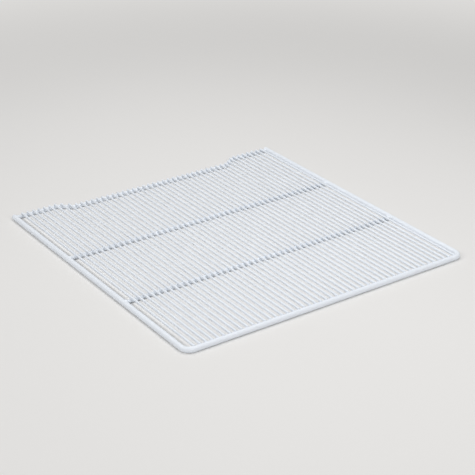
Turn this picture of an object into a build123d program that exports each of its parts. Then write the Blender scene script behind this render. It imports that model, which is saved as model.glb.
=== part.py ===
# Wire shelf for a refrigerator: plastic-coated steel wires welded side by side onto two cross rods
# and a stepped rear rod, inside a heavier rod bent into a U round both sides and the front.
# Millimetres. X runs across the shelf, Y from front to back, Z up; the shelf lies on Z = 0.
import os
from build123d import *

os.makedirs("parts", exist_ok=True)

# Coated diameters
FRAME_DIA = 8.4          # U-shaped frame rod
ROD_DIA = 6.0            # cross rods and rear rod
WIRE_DIA = 3.6           # shelf wires

# Outline
DEPTH = 504.5            # front of the frame to the rear ends of its sides
CORNER_RADIUS = 12.5     # frame's front corners, on the centre line
END_BEVEL = 1.0          # coat eases the edge of the frame's rear ends

# Shelf wires
WIRE_COUNT = 49
WIRE_PITCH = 9.75
SIDE_GAP = 13.0          # centre of a side rod to the centre of the outermost wire
FRONT_SETBACK = 1.2      # wires' front ends behind the front rod's centre line
REAR_OVERHANG = 0.6      # wires' rear ends behind the rear rod's centre line

# Rods under the wires
FIRST_DISTANCE = 162.0   # front rod to the first cross rod, between centre lines
SECOND_DISTANCE = 324.0  # front rod to the second cross rod, between centre lines
ROD_LIFT = 0.2           # rods clear the surface that the frame lies on
END_LAP = 1.8            # rods' ends reach this far in under the frame's round side

# Step in the rear rod that leaves room for the duct on the cabinet's back wall
STEP_INSET = 76.0        # side rod's centre line to the start of the slope
STEP_RUN = 22.0          # length of each slope across the shelf
STEP_DEPTH = 17.0        # middle of the rear rod lies this far forward
STEP_BEND = 9.0          # bends of the rear rod, on the centre line

frame_radius = FRAME_DIA / 2
rod_radius = ROD_DIA / 2
wire_radius = WIRE_DIA / 2
side_x = SIDE_GAP + (WIRE_COUNT - 1) * WIRE_PITCH / 2
rear_end = DEPTH / 2
front_y = frame_radius - DEPTH / 2
rear_y = rear_end - rod_radius
middle_y = rear_y - STEP_DEPTH
frame_z = frame_radius
rod_z = ROD_LIFT + rod_radius
wire_z = rod_z + rod_radius + wire_radius
rod_end = side_x - frame_radius + END_LAP
slope_out = side_x - STEP_INSET
slope_in = slope_out - STEP_RUN


def rear_line(x):
    # The rear rod's centre line before its bends are rounded.
    share = (slope_out - abs(x)) / STEP_RUN
    return rear_y - STEP_DEPTH * min(1.0, max(0.0, share))


# Frame rod: left side, front and right side in one bent length
with BuildPart() as frame_rod:
    with BuildLine(Plane.XY.offset(frame_z)) as frame_path:
        FilletPolyline(
            (-side_x, rear_end),
            (-side_x, front_y),
            (side_x, front_y),
            (side_x, rear_end),
            radius=CORNER_RADIUS,
        )
    with BuildSketch(Plane(frame_path.wire() @ 0, z_dir=frame_path.wire() % 0)):
        Circle(frame_radius)
    sweep()
    chamfer(frame_rod.edges().group_by(Axis.Y)[-1], length=END_BEVEL)
frame_rod.part.label = "frame_rod"
export_step(frame_rod.part, "parts/frame_rod.step")

# Shelf wires: they lie on the rods, and their front ends are shaped to the front rod's rear shoulder
for number in range(WIRE_COUNT):
    wire_x = SIDE_GAP - side_x + number * WIRE_PITCH
    wire_start = front_y + FRONT_SETBACK
    wire_length = rear_line(wire_x) + REAR_OVERHANG - wire_start
    wire_plane = Plane((wire_x, wire_start, wire_z), x_dir=(1, 0, 0), z_dir=(0, 1, 0))
    with BuildPart() as wire:
        with BuildSketch(wire_plane):
            Circle(wire_radius)
        extrude(amount=wire_length)
        add(frame_rod.part, mode=Mode.SUBTRACT)
    wire.part.label = f"wire_{number + 1:02d}"
    export_step(wire.part, f"parts/{wire.part.label}.step")

# Cross rods: their ends are shaped to the frame's sides
for number, distance in enumerate((FIRST_DISTANCE, SECOND_DISTANCE), start=1):
    rod_plane = Plane((-rod_end, front_y + distance, rod_z), x_dir=(0, 1, 0), z_dir=(1, 0, 0))
    with BuildPart() as cross_rod:
        with BuildSketch(rod_plane):
            Circle(rod_radius)
        extrude(amount=2 * rod_end)
        add(frame_rod.part, mode=Mode.SUBTRACT)
    cross_rod.part.label = f"cross_rod_{number}"
    export_step(cross_rod.part, f"parts/{cross_rod.part.label}.step")

# Rear rod: stepped forward between its two slopes
with BuildPart() as rear_rod:
    with BuildLine(Plane.XY.offset(rod_z)) as rear_path:
        FilletPolyline(
            (-rod_end, rear_y),
            (-slope_out, rear_y),
            (-slope_in, middle_y),
            (slope_in, middle_y),
            (slope_out, rear_y),
            (rod_end, rear_y),
            radius=STEP_BEND,
        )
    with BuildSketch(Plane(rear_path.wire() @ 0, z_dir=rear_path.wire() % 0)):
        Circle(rod_radius)
    sweep()
    add(frame_rod.part, mode=Mode.SUBTRACT)
rear_rod.part.label = "rear_rod"
export_step(rear_rod.part, "parts/rear_rod.step")
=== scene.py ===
import math

import bmesh
import bpy
from bpy.props import FloatProperty, FloatVectorProperty, PointerProperty
from bpy.types import Operator, Panel, PropertyGroup
from mathutils import Matrix, Vector


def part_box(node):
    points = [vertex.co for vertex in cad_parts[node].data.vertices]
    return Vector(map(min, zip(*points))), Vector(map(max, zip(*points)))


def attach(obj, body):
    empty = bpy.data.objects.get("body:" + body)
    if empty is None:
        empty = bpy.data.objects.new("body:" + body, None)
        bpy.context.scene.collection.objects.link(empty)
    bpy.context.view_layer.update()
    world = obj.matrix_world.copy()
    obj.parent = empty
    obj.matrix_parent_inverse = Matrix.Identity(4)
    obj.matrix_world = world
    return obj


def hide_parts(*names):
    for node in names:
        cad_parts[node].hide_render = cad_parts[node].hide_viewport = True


bl_info = {
    "name": "Coated Wire Shelf",
    "version": (1, 0, 0),
    "blender": (4, 5, 0),
    "location": "View3D > Sidebar > Shelf",
    "description": "Dresses a refrigerator shelf with coated rods, wires and welds on a studio floor",
    "category": "Object",
}

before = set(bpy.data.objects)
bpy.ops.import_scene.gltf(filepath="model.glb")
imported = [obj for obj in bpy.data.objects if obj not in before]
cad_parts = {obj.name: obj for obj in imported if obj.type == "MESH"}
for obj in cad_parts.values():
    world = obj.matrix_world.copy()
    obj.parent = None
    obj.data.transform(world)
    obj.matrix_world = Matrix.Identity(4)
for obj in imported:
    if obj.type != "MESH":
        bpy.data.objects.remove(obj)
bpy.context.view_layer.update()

BODY = "root"
FRAME_NODE = "frame_rod"
REAR_NODE = "rear_rod"
CROSS_NODES = sorted(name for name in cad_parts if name.startswith("cross_rod"))
WIRE_NODES = sorted(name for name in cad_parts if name.startswith("wire"))
UP = Vector((0.0, 0.0, 1.0))

# Sides of the round sections, and steps of the bends and rounded ends
FRAME_SECTION = 40
ROD_SECTION = 32
WIRE_SECTION = 24
CORNER_STEPS = 20
STEP_BEND_STEPS = 8
FRAME_ROUND_STEPS = 5
WIRE_ROUND_STEPS = 4

# Fillets of coat where the wires cross the rods
FILLET_SIDES = 16
FILLET_RINGS = 5
FILLET_WAIST = 0.20
FILLET_SUNK = 0.0001
BAR_EDGE = 0.98
REAR_FILLET_SHIFT = 0.0005
REAR_FILLET_BACK = 0.3

# Beads of coat under the wires' front ends
BEAD_HALF_SIZES = (0.0021, 0.0012, 0.0010)
BEAD_SIDES = 14
BEAD_RINGS = 8

# Collars of coat at the rods' ends: length of each step and thickness of the collar there
COLLAR_SUNK = 0.0016
COLLAR_STEPS = ((0.0, 1.22), (0.0015, 1.22), (0.0007, 1.11), (0.0008, 1.04), (0.0010, 0.99))

# Coat and floor
COAT_IOR = 1.47
PEEL_DEPTH = 0.0002
FLOOR_ROUGHNESS = 0.92
FLOOR_SPECULAR = 0.15
FLOOR_MOTTLE = 0.015

# The photograph's frame, with its middle half a pixel off
PHOTO_SIZE = 475
PHOTO_SHIFT = -0.5
SENSOR_WIDTH = 36.0


class ShelfSizes(PropertyGroup):
    """Sizes of the rods and wires over their coat."""

    frame_diameter: FloatProperty(
        name="Frame rod", description="Thickness of the rod round the sides and the front",
        default=0.0084, unit="LENGTH", precision=4)
    rod_diameter: FloatProperty(
        name="Cross rods", description="Thickness of the cross rods and the rear rod",
        default=0.0060, unit="LENGTH", precision=4)
    wire_diameter: FloatProperty(
        name="Wires", description="Thickness of the shelf wires",
        default=0.0036, unit="LENGTH", precision=4)
    corner_radius: FloatProperty(
        name="Front corners", description="Bend of the frame rod at its front corners, on the centre line",
        default=0.0125, unit="LENGTH", precision=4)
    step_inset: FloatProperty(
        name="Step inset", description="From a side rod's centre line to the start of the rear rod's slope",
        default=0.076, unit="LENGTH", precision=4)
    step_run: FloatProperty(
        name="Step run", description="Length of each slope across the shelf",
        default=0.022, unit="LENGTH", precision=4)
    step_depth: FloatProperty(
        name="Step depth", description="How far forward the middle of the rear rod lies",
        default=0.017, unit="LENGTH", precision=4)
    step_bend: FloatProperty(
        name="Step bends", description="Bend radius of the rear rod, on the centre line",
        default=0.009, unit="LENGTH", precision=4)
    frame_round: FloatProperty(
        name="Frame end round", description="Rounding of the coat over the frame rod's rear ends",
        default=0.0014, unit="LENGTH", precision=4)
    wire_round: FloatProperty(
        name="Wire end round", description="Rounding of the coat over the wires' cut ends",
        default=0.0008, unit="LENGTH", precision=4)
    weld_gap: FloatProperty(
        name="Weld fillet", description="Widest gap between a wire and a rod that the coat fills at a weld",
        default=0.0007, unit="LENGTH", precision=4)


class ShelfFinish(PropertyGroup):
    """Colours and surface of the coat."""

    coat_light: FloatVectorProperty(
        name="Coat", description="Colour of the white plastic coat where it lies thick",
        default=(0.87, 0.915, 0.975), size=3, min=0.0, max=1.0, subtype="COLOR")
    coat_thin: FloatVectorProperty(
        name="Thin coat", description="Colour of the coat where it lies thinner over the steel",
        default=(0.86, 0.905, 0.97), size=3, min=0.0, max=1.0, subtype="COLOR")
    coat_pooled: FloatVectorProperty(
        name="Pooled coat", description="Colour of the coat that gathers in the welds",
        default=(0.865, 0.91, 0.972), size=3, min=0.0, max=1.0, subtype="COLOR")
    peel_height: FloatProperty(
        name="Peel", description="Strength of the coat's fine orange-peel texture",
        default=0.08, min=0.0, max=1.0, subtype="FACTOR")


class ShelfStage(PropertyGroup):
    """Floor, light and camera."""

    floor_colour: FloatVectorProperty(
        name="Floor", description="Colour of the pale floor",
        default=(0.84, 0.83, 0.815), size=3, min=0.0, max=1.0, subtype="COLOR")
    backdrop_colour: FloatVectorProperty(
        name="Backdrop", description="Colour of the background, which the floor fades to",
        default=(0.75, 0.74, 0.725), size=3, min=0.0, max=1.0, subtype="COLOR")
    fade_start: FloatProperty(
        name="Fade start", description="Distance from the shelf's middle at which the floor starts to fade",
        default=0.7, unit="LENGTH")
    fade_end: FloatProperty(
        name="Fade end", description="Distance from the shelf's middle at which the floor has faded",
        default=1.6, unit="LENGTH")
    floor_size: FloatProperty(
        name="Floor size", description="Length of the floor's sides", default=12.0, unit="LENGTH")
    key_place: FloatVectorProperty(
        name="Key lamp", description="Place of the long soft lamp over the shelf",
        default=(0.2, 0.0, 1.3), size=3, subtype="XYZ", unit="LENGTH")
    key_width: FloatProperty(
        name="Key width", description="Width of the long soft lamp, across the shelf",
        default=0.8, unit="LENGTH")
    key_length: FloatProperty(
        name="Key length", description="Length of the long soft lamp, from front to back",
        default=2.0, unit="LENGTH")
    key_power: FloatProperty(
        name="Key power", description="Power of the long soft lamp", default=10.3, unit="POWER")
    fill_place: FloatVectorProperty(
        name="Front lamp", description="Place of the soft lamp in front of the shelf",
        default=(-0.2, -2.0, 1.2), size=3, subtype="XYZ", unit="LENGTH")
    fill_size: FloatProperty(
        name="Soft lamp size", description="Width of the soft lamps in front of the shelf and to its left",
        default=0.9, unit="LENGTH")
    fill_power: FloatProperty(
        name="Front power", description="Power of the soft lamp in front of the shelf",
        default=8.0, unit="POWER")
    side_place: FloatVectorProperty(
        name="Side lamp", description="Place of the soft lamp to the left of the shelf",
        default=(-1.7, 0.0, 1.45), size=3, subtype="XYZ", unit="LENGTH")
    side_power: FloatProperty(
        name="Side power", description="Power of the soft lamp to the left of the shelf",
        default=11.0, unit="POWER")
    sky_colour: FloatVectorProperty(
        name="Room light", description="Colour of the light from the whole room",
        default=(1.0, 1.0, 1.0), size=3, min=0.0, max=1.0, subtype="COLOR")
    sky_level: FloatProperty(
        name="Room level", description="Level of the light from the whole room", default=0.31, min=0.0)
    camera_place: FloatVectorProperty(
        name="Camera", description="Place of the camera",
        default=(-1.0907, -1.5548, 0.9462), size=3, subtype="XYZ", unit="LENGTH")
    camera_heading: FloatProperty(
        name="Heading", description="Turn of the view to the right of the +Y axis",
        default=math.radians(35.290), subtype="ANGLE")
    camera_tilt: FloatProperty(
        name="Tilt", description="How far the view looks down",
        default=math.radians(26.42), subtype="ANGLE")
    camera_roll: FloatProperty(
        name="Roll", description="Turn of the picture about the line of sight",
        default=math.radians(-0.428), subtype="ANGLE")
    camera_lens: FloatProperty(
        name="Lens", description="Focal length on a 36 mm wide sensor",
        default=103.85, unit="CAMERA")


def verts_of(geometry):
    """The vertices in what a bmesh operator returns."""
    return [item for item in geometry if isinstance(item, bmesh.types.BMVert)]


def rim_of(verts):
    """The edges that join the given vertices to each other."""
    chosen = set(verts)
    rim = {edge for vert in chosen for edge in vert.link_edges}
    return [edge for edge in rim if edge.verts[0] in chosen and edge.verts[1] in chosen]


def facing(place, direction):
    """A matrix that moves a flat shape to a place and turns its face along a direction."""
    turn = direction.to_track_quat("Z", "Y").to_matrix().to_4x4()
    return Matrix.Translation(place) @ turn


class RodBender:
    """Pushes a round section along straight runs and level bends, as a rod bender does."""

    def __init__(self, mesh, start, heading, radius, segments):
        self.mesh = mesh
        self.place = Vector(start)
        self.heading = Vector(heading).normalized()
        ring = bmesh.ops.create_circle(
            mesh, cap_ends=False, segments=segments, radius=radius,
            matrix=facing(self.place, self.heading))
        self.first = ring["verts"]
        self.ring = ring["verts"]

    def run(self, length):
        made = bmesh.ops.extrude_edge_only(self.mesh, edges=rim_of(self.ring))["geom"]
        self.ring = verts_of(made)
        step = self.heading * length
        bmesh.ops.translate(self.mesh, vec=step, verts=self.ring)
        self.place = self.place + step
        return self

    def turn(self, angle, bend_radius, steps):
        left = UP.cross(self.heading)
        centre = self.place + left * math.copysign(bend_radius, angle)
        made = bmesh.ops.spin(
            self.mesh, geom=self.ring + rim_of(self.ring), cent=centre, axis=UP,
            dvec=(0.0, 0.0, 0.0), angle=angle, steps=steps, use_merge=False, use_duplicate=False)
        self.ring = verts_of(made["geom_last"])
        swing = Matrix.Rotation(angle, 3, UP)
        self.place = centre + swing @ (self.place - centre)
        self.heading = swing @ self.heading
        return self

    def close(self, first_round, last_round, segments):
        """Caps both ends and rounds their rims."""
        for verts, offset in ((self.first, first_round), (self.ring, last_round)):
            rim = rim_of(verts)
            bmesh.ops.edgeloop_fill(self.mesh, edges=rim)
            if offset > 0.0:
                bmesh.ops.bevel(
                    self.mesh, geom=rim, offset=offset, offset_type="OFFSET", affect="EDGES",
                    segments=segments, profile=0.5, material=-1, clamp_overlap=True)


def finished(mesh, name, material, replaced):
    """Turns a bmesh into a smooth piece that rides with the shelf."""
    bmesh.ops.recalc_face_normals(mesh, faces=mesh.faces)
    data = bpy.data.meshes.new(name)
    mesh.to_mesh(data)
    mesh.free()
    data.shade_smooth()
    data.materials.append(material)
    piece = bpy.data.objects.new(name, data)
    bpy.context.scene.collection.objects.link(piece)
    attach(piece, BODY)
    if replaced:
        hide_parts(replaced)
    return piece


def centre_of(node):
    low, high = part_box(node)
    return (low + high) / 2


def coat_texture_group():
    """Shared surface of the sprayed coat: slow drift of its thickness, fine peel and polish."""
    group = bpy.data.node_groups.get("coat_texture")
    if group:
        return group
    group = bpy.data.node_groups.new("coat_texture", "ShaderNodeTree")
    sockets = (
        ("Drift Scale", "INPUT", 24.0), ("Peel Scale", "INPUT", 900.0),
        ("Polish", "INPUT", 0.36), ("Polish Spread", "INPUT", 0.10),
        ("Thickness", "OUTPUT", 0.0), ("Roughness", "OUTPUT", 0.0), ("Peel", "OUTPUT", 0.0),
    )
    for name, way, value in sockets:
        socket = group.interface.new_socket(name, in_out=way, socket_type="NodeSocketFloat")
        socket.default_value = value
    nodes, links = group.nodes, group.links
    entry = nodes.new("NodeGroupInput")
    leave = nodes.new("NodeGroupOutput")
    place = nodes.new("ShaderNodeTexCoord")
    drift = nodes.new("ShaderNodeTexNoise")
    drift.inputs["Detail"].default_value = 3.0
    drift.inputs["Roughness"].default_value = 0.55
    peel = nodes.new("ShaderNodeTexNoise")
    peel.inputs["Detail"].default_value = 1.5
    settle = nodes.new("ShaderNodeMapRange")
    settle.inputs["From Min"].default_value = 0.30
    settle.inputs["From Max"].default_value = 0.70
    spread = nodes.new("ShaderNodeMath")
    spread.operation = "MULTIPLY"
    polish = nodes.new("ShaderNodeMath")
    polish.operation = "ADD"
    links.new(place.outputs["Object"], drift.inputs["Vector"])
    links.new(place.outputs["Object"], peel.inputs["Vector"])
    links.new(entry.outputs["Drift Scale"], drift.inputs["Scale"])
    links.new(entry.outputs["Peel Scale"], peel.inputs["Scale"])
    links.new(drift.outputs["Fac"], settle.inputs["Value"])
    links.new(peel.outputs["Fac"], spread.inputs[0])
    links.new(entry.outputs["Polish Spread"], spread.inputs[1])
    links.new(spread.outputs["Value"], polish.inputs[0])
    links.new(entry.outputs["Polish"], polish.inputs[1])
    links.new(settle.outputs["Result"], leave.inputs["Thickness"])
    links.new(polish.outputs["Value"], leave.inputs["Roughness"])
    links.new(peel.outputs["Fac"], leave.inputs["Peel"])
    return group


def coat_material(name, thick, thin, drift_scale, peel_scale, peel_height):
    """White satin plastic coat over steel."""
    material = bpy.data.materials.get(name)
    if material:
        return material
    material = bpy.data.materials.new(name)
    material.use_nodes = True
    nodes, links = material.node_tree.nodes, material.node_tree.links
    shader = nodes["Principled BSDF"]
    shader.inputs["IOR"].default_value = COAT_IOR
    texture = nodes.new("ShaderNodeGroup")
    texture.node_tree = coat_texture_group()
    texture.inputs["Drift Scale"].default_value = drift_scale
    texture.inputs["Peel Scale"].default_value = peel_scale
    blend = nodes.new("ShaderNodeMix")
    blend.data_type = "RGBA"
    blend.inputs["A"].default_value = (*thin, 1.0)
    blend.inputs["B"].default_value = (*thick, 1.0)
    bump = nodes.new("ShaderNodeBump")
    bump.inputs["Strength"].default_value = peel_height
    bump.inputs["Distance"].default_value = PEEL_DEPTH
    links.new(texture.outputs["Thickness"], blend.inputs["Factor"])
    links.new(blend.outputs["Result"], shader.inputs["Base Color"])
    links.new(texture.outputs["Roughness"], shader.inputs["Roughness"])
    links.new(texture.outputs["Peel"], bump.inputs["Height"])
    links.new(bump.outputs["Normal"], shader.inputs["Normal"])
    return material


def rod_coat(finish):
    return coat_material(
        "rod_coat", finish.coat_light, finish.coat_thin, drift_scale=22.0, peel_scale=700.0,
        peel_height=finish.peel_height)


def wire_coat(finish):
    return coat_material(
        "wire_coat", finish.coat_light, finish.coat_thin, drift_scale=36.0, peel_scale=1100.0,
        peel_height=finish.peel_height)


def weld_coat(finish):
    return coat_material(
        "weld_coat", finish.coat_pooled, finish.coat_thin, drift_scale=90.0, peel_scale=1100.0,
        peel_height=finish.peel_height)


class SHELF_OT_frame_rod(Operator):
    """Bends the heavy rod round both sides and the front"""

    bl_idname = "shelf.frame_rod"
    bl_label = "Frame Rod"

    def execute(self, context):
        sizes, finish = context.scene.shelf_sizes, context.scene.shelf_finish
        radius = sizes.frame_diameter / 2
        low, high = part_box(FRAME_NODE)
        half = (high.x - low.x) / 2 - radius
        leg = high.y - low.y - radius - sizes.corner_radius
        mesh = bmesh.new()
        start = ((low.x + high.x) / 2 - half, high.y, low.z + radius)
        bender = RodBender(mesh, start, (0, -1, 0), radius, FRAME_SECTION)
        quarter = math.pi / 2
        bender.run(leg).turn(quarter, sizes.corner_radius, CORNER_STEPS)
        bender.run(2 * (half - sizes.corner_radius)).turn(quarter, sizes.corner_radius, CORNER_STEPS)
        bender.run(leg).close(sizes.frame_round, sizes.frame_round, FRAME_ROUND_STEPS)
        finished(mesh, "frame_rod_coat", rod_coat(finish), FRAME_NODE)
        return {"FINISHED"}


class SHELF_OT_cross_rods(Operator):
    """Lays the straight cross rods under the wires"""

    bl_idname = "shelf.cross_rods"
    bl_label = "Cross Rods"

    def execute(self, context):
        sizes, finish = context.scene.shelf_sizes, context.scene.shelf_finish
        for node in CROSS_NODES:
            low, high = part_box(node)
            middle = centre_of(node)
            mesh = bmesh.new()
            bender = RodBender(
                mesh, (low.x, middle.y, middle.z), (1, 0, 0), sizes.rod_diameter / 2, ROD_SECTION)
            bender.run(high.x - low.x).close(0.0, 0.0, 1)
            finished(mesh, node + "_coat", rod_coat(finish), node)
        return {"FINISHED"}


class SHELF_OT_rear_rod(Operator):
    """Bends the rear rod with its step forward in the middle"""

    bl_idname = "shelf.rear_rod"
    bl_label = "Rear Rod"

    def execute(self, context):
        sizes, finish = context.scene.shelf_sizes, context.scene.shelf_finish
        radius = sizes.rod_diameter / 2
        low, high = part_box(REAR_NODE)
        slope = math.atan2(sizes.step_depth, sizes.step_run)
        cut_back = sizes.step_bend * math.tan(slope / 2)
        incline = math.hypot(sizes.step_run, sizes.step_depth) - 2 * cut_back
        frame_low, frame_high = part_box(FRAME_NODE)
        side = (frame_high.x - frame_low.x) / 2 - sizes.frame_diameter / 2
        outer = high.x - (side - sizes.step_inset) - cut_back
        inner = 2 * (side - sizes.step_inset - sizes.step_run - cut_back)
        mesh = bmesh.new()
        bender = RodBender(
            mesh, (low.x, high.y - radius, low.z + radius), (1, 0, 0), radius, ROD_SECTION)
        bender.run(outer).turn(-slope, sizes.step_bend, STEP_BEND_STEPS)
        bender.run(incline).turn(slope, sizes.step_bend, STEP_BEND_STEPS)
        bender.run(inner).turn(slope, sizes.step_bend, STEP_BEND_STEPS)
        bender.run(incline).turn(-slope, sizes.step_bend, STEP_BEND_STEPS)
        bender.run(outer).close(0.0, 0.0, 1)
        finished(mesh, "rear_rod_coat", rod_coat(finish), REAR_NODE)
        return {"FINISHED"}


class SHELF_OT_wires(Operator):
    """Lays the shelf wires side by side from the front rod to the rear rod"""

    bl_idname = "shelf.wires"
    bl_label = "Shelf Wires"

    def execute(self, context):
        sizes, finish = context.scene.shelf_sizes, context.scene.shelf_finish
        for node in WIRE_NODES:
            low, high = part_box(node)
            middle = centre_of(node)
            mesh = bmesh.new()
            bender = RodBender(
                mesh, (middle.x, low.y, middle.z), (0, 1, 0), sizes.wire_diameter / 2, WIRE_SECTION)
            bender.run(high.y - low.y).close(sizes.wire_round, sizes.wire_round, WIRE_ROUND_STEPS)
            finished(mesh, node + "_coat", wire_coat(finish), node)
        return {"FINISHED"}


def rise_of(offset, radius):
    """Height of a round bar's surface above its lowest line, a given distance to the side."""
    inside = min(abs(offset), radius * BAR_EDGE)
    return radius - math.sqrt(radius * radius - inside * inside)


def add_crossing_fillet(mesh, place, wire_radius, rod_radius, gap, lean, back_share):
    """A waisted fillet of coat round the spot where a wire lies on a rod that leans by an angle."""
    reach_x = math.sqrt(2 * wire_radius * gap)
    reach_y = math.sqrt(2 * rod_radius * gap)
    ring = bmesh.ops.create_circle(mesh, cap_ends=False, segments=FILLET_SIDES, radius=1.0)["verts"]
    bearings = [vert.co.copy() for vert in ring]
    first = ring
    for number in range(FILLET_RINGS):
        share = number / (FILLET_RINGS - 1)
        waist = 1.0 - FILLET_WAIST * math.sin(math.pi * share)
        if number:
            made = verts_of(bmesh.ops.extrude_edge_only(mesh, edges=rim_of(ring))["geom"])
            ring = [min(made, key=lambda vert: (vert.co - old.co).length) for old in ring]
        for vert, bearing in zip(ring, bearings):
            across = bearing.x * reach_x * waist
            along = bearing.y * reach_y * waist * (back_share if bearing.y > 0.0 else 1.0)
            off_rod = along * math.cos(lean) - across * math.sin(lean)
            top = rise_of(across, wire_radius) + FILLET_SUNK
            bottom = -rise_of(off_rod, rod_radius) - FILLET_SUNK
            vert.co = Vector((across, along, top + (bottom - top) * share)) + place
    for verts in (first, ring):
        bmesh.ops.edgeloop_fill(mesh, edges=rim_of(verts))


class SHELF_OT_welds(Operator):
    """Fills the crossings of wires and rods with the coat that gathers at the welds"""

    bl_idname = "shelf.welds"
    bl_label = "Welds"

    def execute(self, context):
        sizes, finish = context.scene.shelf_sizes, context.scene.shelf_finish
        wire_radius, rod_radius = sizes.wire_diameter / 2, sizes.rod_diameter / 2
        material = weld_coat(finish)
        for number, node in enumerate(CROSS_NODES, start=1):
            rod = centre_of(node)
            mesh = bmesh.new()
            for wire in WIRE_NODES:
                place = Vector((centre_of(wire).x, rod.y, rod.z + rod_radius))
                add_crossing_fillet(mesh, place, wire_radius, rod_radius, sizes.weld_gap, 0.0, 1.0)
            finished(mesh, f"cross_welds_{number}", material, None)
        self.rear_row(sizes, material)
        self.front_row(sizes, material)
        return {"FINISHED"}

    def rear_row(self, sizes, material):
        wire_radius, rod_radius = sizes.wire_diameter / 2, sizes.rod_diameter / 2
        low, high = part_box(REAR_NODE)
        frame_low, frame_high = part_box(FRAME_NODE)
        side = (frame_high.x - frame_low.x) / 2 - sizes.frame_diameter / 2
        start = side - sizes.step_inset
        slope = math.atan2(sizes.step_depth, sizes.step_run)
        mesh = bmesh.new()
        for wire in WIRE_NODES:
            x = centre_of(wire).x
            share = min(1.0, max(0.0, (start - abs(x)) / sizes.step_run))
            lean = math.copysign(slope, x) if 0.0 < share < 1.0 else 0.0
            y = high.y - rod_radius - sizes.step_depth * share
            place = Vector((x, y - REAR_FILLET_SHIFT, low.z + 2 * rod_radius))
            add_crossing_fillet(
                mesh, place, wire_radius, rod_radius, sizes.weld_gap, lean, REAR_FILLET_BACK)
        finished(mesh, "rear_welds", material, None)

    def front_row(self, sizes, material):
        frame_radius, wire_radius = sizes.frame_diameter / 2, sizes.wire_diameter / 2
        low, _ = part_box(FRAME_NODE)
        mesh = bmesh.new()
        for wire in WIRE_NODES:
            middle = centre_of(wire)
            height = middle.z - wire_radius - low.z - frame_radius
            shoulder = math.sqrt(frame_radius ** 2 - height ** 2)
            place = Vector((middle.x, low.y + frame_radius + shoulder, middle.z - wire_radius))
            bmesh.ops.create_uvsphere(
                mesh, u_segments=BEAD_SIDES, v_segments=BEAD_RINGS, radius=1.0,
                matrix=Matrix.Translation(place) @ Matrix.Diagonal((*BEAD_HALF_SIZES, 1.0)))
        finished(mesh, "front_welds", material, None)


class SHELF_OT_rod_ends(Operator):
    """Flares the coat where the cross rods and the rear rod meet the side rods"""

    bl_idname = "shelf.rod_ends"
    bl_label = "Rod Ends"

    def execute(self, context):
        sizes, finish = context.scene.shelf_sizes, context.scene.shelf_finish
        rod_radius = sizes.rod_diameter / 2
        frame_low, frame_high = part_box(FRAME_NODE)
        wall = (frame_high.x - frame_low.x) / 2 - sizes.frame_diameter
        mesh = bmesh.new()
        for node in CROSS_NODES + [REAR_NODE]:
            low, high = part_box(node)
            y = high.y - rod_radius
            z = low.z + rod_radius
            for way in (-1.0, 1.0):
                start = Vector((way * (wall + COLLAR_SUNK), y, z))
                fixed = Vector((0.0, high.y if node == REAR_NODE else y, low.z))
                self.collar(mesh, start, fixed, way, rod_radius)
        finished(mesh, "rod_end_welds", weld_coat(finish), None)
        return {"FINISHED"}

    def collar(self, mesh, start, fixed, way, rod_radius):
        """One flared ring of coat, which keeps the rod's lines through the fixed point where they are."""
        bender = RodBender(mesh, start, (-way, 0, 0), rod_radius, ROD_SECTION)
        flare = 1.0
        for length, wanted in COLLAR_STEPS:
            if length > 0.0:
                bender.run(length)
            growth = wanted / flare
            bmesh.ops.scale(
                mesh, vec=(1.0, growth, growth), verts=bender.ring, space=Matrix.Translation(-fixed))
            flare = wanted
        bender.close(0.0, 0.0, 1)


def background_ray(nodes, links):
    """1 for a ray that sees the background from the camera or by way of gloss or glass, otherwise 0."""
    path = nodes.new("ShaderNodeLightPath")
    ray = path.outputs["Is Camera Ray"]
    for other in ("Is Glossy Ray", "Is Transmission Ray"):
        either = nodes.new("ShaderNodeMath")
        either.operation = "MAXIMUM"
        links.new(ray, either.inputs[0])
        links.new(path.outputs[other], either.inputs[1])
        ray = either.outputs["Value"]
    return ray


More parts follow.
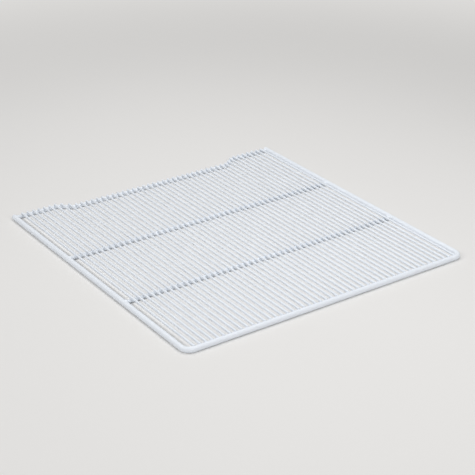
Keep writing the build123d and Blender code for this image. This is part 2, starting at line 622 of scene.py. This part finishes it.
def floor_material(stage):
    """Pale matt paper floor with very faint mottling, which fades into the backdrop."""
    colour = stage.floor_colour
    material = bpy.data.materials.new("pale_floor")
    material.use_nodes = True
    nodes, links = material.node_tree.nodes, material.node_tree.links
    shader = nodes["Principled BSDF"]
    shader.inputs["Roughness"].default_value = FLOOR_ROUGHNESS
    shader.inputs["Specular IOR Level"].default_value = FLOOR_SPECULAR
    place = nodes.new("ShaderNodeTexCoord")
    mottle = nodes.new("ShaderNodeTexNoise")
    mottle.inputs["Scale"].default_value = 1.6
    mottle.inputs["Detail"].default_value = 2.0
    blend = nodes.new("ShaderNodeMix")
    blend.data_type = "RGBA"
    blend.inputs["A"].default_value = (*[(1.0 - FLOOR_MOTTLE) * part for part in colour], 1.0)
    blend.inputs["B"].default_value = (*[min(1.0, (1.0 + FLOOR_MOTTLE) * part) for part in colour], 1.0)
    links.new(place.outputs["Object"], mottle.inputs["Vector"])
    links.new(mottle.outputs["Fac"], blend.inputs["Factor"])
    links.new(blend.outputs["Result"], shader.inputs["Base Color"])
    distance = nodes.new("ShaderNodeVectorMath")
    distance.operation = "LENGTH"
    fade = nodes.new("ShaderNodeMapRange")
    fade.interpolation_type = "SMOOTHSTEP"
    fade.inputs["From Min"].default_value = stage.fade_start
    fade.inputs["From Max"].default_value = stage.fade_end
    share = nodes.new("ShaderNodeMath")
    share.operation = "MULTIPLY"
    glow = nodes.new("ShaderNodeEmission")
    glow.inputs["Color"].default_value = (*stage.backdrop_colour, 1.0)
    both = nodes.new("ShaderNodeMixShader")
    links.new(place.outputs["Object"], distance.inputs[0])
    links.new(distance.outputs["Value"], fade.inputs["Value"])
    links.new(fade.outputs["Result"], share.inputs[0])
    links.new(background_ray(nodes, links), share.inputs[1])
    links.new(share.outputs["Value"], both.inputs["Fac"])
    links.new(shader.outputs["BSDF"], both.inputs[1])
    links.new(glow.outputs["Emission"], both.inputs[2])
    links.new(both.outputs["Shader"], nodes["Material Output"].inputs["Surface"])
    return material


class SHELF_OT_stage(Operator):
    """Sets the floor, the light and the camera"""

    bl_idname = "shelf.stage"
    bl_label = "Stage"

    def execute(self, context):
        stage = context.scene.shelf_stage
        self.floor(stage)
        self.light(context.scene, stage)
        self.camera(context.scene, stage)
        context.scene.view_settings.view_transform = "Standard"
        return {"FINISHED"}

    def floor(self, stage):
        mesh = bmesh.new()
        bmesh.ops.create_grid(mesh, x_segments=1, y_segments=1, size=stage.floor_size / 2)
        data = bpy.data.meshes.new("floor")
        mesh.to_mesh(data)
        mesh.free()
        data.materials.append(floor_material(stage))
        floor = bpy.data.objects.new("floor", data)
        bpy.context.scene.collection.objects.link(floor)

    def light(self, scene, stage):
        key_size = (stage.key_width, stage.key_length)
        soft_size = (stage.fill_size, stage.fill_size)
        self.lamp(scene, "key_lamp", stage.key_place, key_size, stage.key_power)
        for name, place, power in (
                ("front_lamp", stage.fill_place, stage.fill_power),
                ("side_lamp", stage.side_place, stage.side_power)):
            lamp = self.lamp(scene, name, place, soft_size, power)
            lamp.rotation_euler = (-Vector(place)).to_track_quat("-Z", "Y").to_euler()
        world = bpy.data.worlds.new("room_light")
        world.use_nodes = True
        nodes, links = world.node_tree.nodes, world.node_tree.links
        room = nodes["Background"]
        room.inputs["Color"].default_value = (*stage.sky_colour, 1.0)
        room.inputs["Strength"].default_value = stage.sky_level
        backdrop = nodes.new("ShaderNodeBackground")
        backdrop.inputs["Color"].default_value = (*stage.backdrop_colour, 1.0)
        both = nodes.new("ShaderNodeMixShader")
        links.new(background_ray(nodes, links), both.inputs["Fac"])
        links.new(room.outputs["Background"], both.inputs[1])
        links.new(backdrop.outputs["Background"], both.inputs[2])
        links.new(both.outputs["Shader"], nodes["World Output"].inputs["Surface"])
        scene.world = world

    def lamp(self, scene, name, place, size, power):
        data = bpy.data.lights.new(name, "AREA")
        data.shape = "RECTANGLE"
        data.size, data.size_y = size
        data.energy = power
        lamp = bpy.data.objects.new(name, data)
        lamp.location = place
        scene.collection.objects.link(lamp)
        return lamp

    def camera(self, scene, stage):
        data = bpy.data.cameras.new("photo_camera")
        data.sensor_width = SENSOR_WIDTH
        data.lens = stage.camera_lens
        data.shift_y = PHOTO_SHIFT / PHOTO_SIZE
        camera = bpy.data.objects.new("photo_camera", data)
        level = Vector((math.sin(stage.camera_heading), math.cos(stage.camera_heading), 0.0))
        look = level * math.cos(stage.camera_tilt) - UP * math.sin(stage.camera_tilt)
        right = look.cross(UP).normalized()
        right = Matrix.Rotation(stage.camera_roll, 3, look) @ right
        above = right.cross(look)
        turn = Matrix((right, above, -look)).transposed().to_4x4()
        camera.matrix_world = Matrix.Translation(Vector(stage.camera_place)) @ turn
        scene.collection.objects.link(camera)
        scene.camera = camera


class SHELF_PT_sidebar(Panel):
    """Lists the shelf's sizes, finish and steps"""

    bl_idname = "SHELF_PT_sidebar"
    bl_label = "Wire Shelf"
    bl_space_type = "VIEW_3D"
    bl_region_type = "UI"
    bl_category = "Shelf"

    def draw(self, context):
        layout = self.layout
        for group in (context.scene.shelf_sizes, context.scene.shelf_finish, context.scene.shelf_stage):
            box = layout.box()
            for name in group.__annotations__:
                box.prop(group, name)
        for operator in STEPS:
            layout.operator(operator.bl_idname)


STEPS = (
    SHELF_OT_frame_rod, SHELF_OT_cross_rods, SHELF_OT_rear_rod, SHELF_OT_wires,
    SHELF_OT_welds, SHELF_OT_rod_ends, SHELF_OT_stage,
)
CLASSES = (ShelfSizes, ShelfFinish, ShelfStage, *STEPS, SHELF_PT_sidebar)


def register():
    for cls in CLASSES:
        bpy.utils.register_class(cls)
    bpy.types.Scene.shelf_sizes = PointerProperty(type=ShelfSizes)
    bpy.types.Scene.shelf_finish = PointerProperty(type=ShelfFinish)
    bpy.types.Scene.shelf_stage = PointerProperty(type=ShelfStage)


def unregister():
    del bpy.types.Scene.shelf_stage
    del bpy.types.Scene.shelf_finish
    del bpy.types.Scene.shelf_sizes
    for cls in reversed(CLASSES):
        bpy.utils.unregister_class(cls)


def main():
    register()
    bpy.ops.shelf.frame_rod()
    bpy.ops.shelf.cross_rods()
    bpy.ops.shelf.rear_rod()
    bpy.ops.shelf.wires()
    bpy.ops.shelf.welds()
    bpy.ops.shelf.rod_ends()
    bpy.ops.shelf.stage()


if __name__ == "__main__":
    main()
